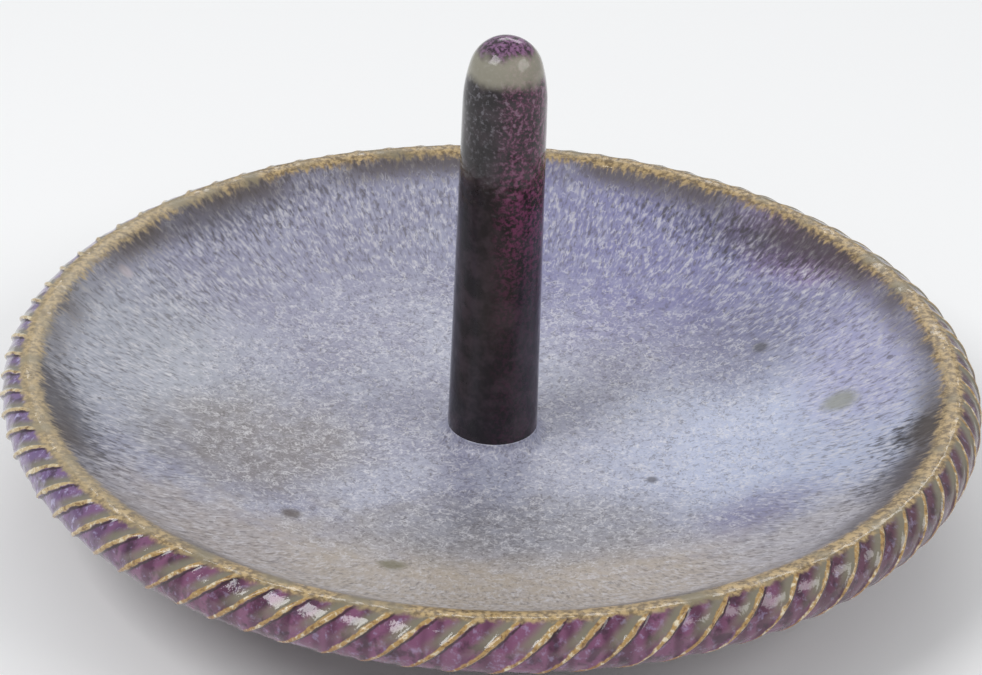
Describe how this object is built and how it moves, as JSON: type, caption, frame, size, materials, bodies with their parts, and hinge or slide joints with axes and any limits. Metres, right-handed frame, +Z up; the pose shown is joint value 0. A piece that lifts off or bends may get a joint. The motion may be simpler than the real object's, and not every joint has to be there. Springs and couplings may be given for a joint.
{
  "type": "ring dish",
  "caption": "Shallow round glazed ceramic dish with a rope-fluted rim, a foot ring and a tapered domed post for finger rings.",
  "frame": {"origin": "middle of the foot ring's resting face, on the table under the dish", "axes": "+Z up along the post, -Y towards the front as pictured, +X to the right"},
  "size_m": [0.1258, 0.1258, 0.0629],
  "materials": {
    "clay_body": "fired stoneware, unglazed where it shows",
    "rim_glaze": "glossy glaze, plum in the flutes, breaking tan on the ridges and crest",
    "clay_post": "fired stoneware, buried under glaze",
    "slip": "fired slip, buried under glaze",
    "bare_foot": "bare sanded stoneware",
    "well_glaze": "satin-gloss mottled grey-blue and lavender glaze with radial runs",
    "post_glaze": "mirror-gloss near-black aubergine glaze with plum specks",
    "outer_glaze": "thin satin brown-plum glaze"
  },
  "bodies": {
    "root": {"dish_body": "clay_body", "rope_rim": "rim_glaze", "ring_post": "clay_post", "slip_fillet": "slip", "foot_ring": "bare_foot", "well_glaze": "well_glaze", "post_glaze": "post_glaze", "outer_glaze": "outer_glaze"}
  },
  "joints": []
}
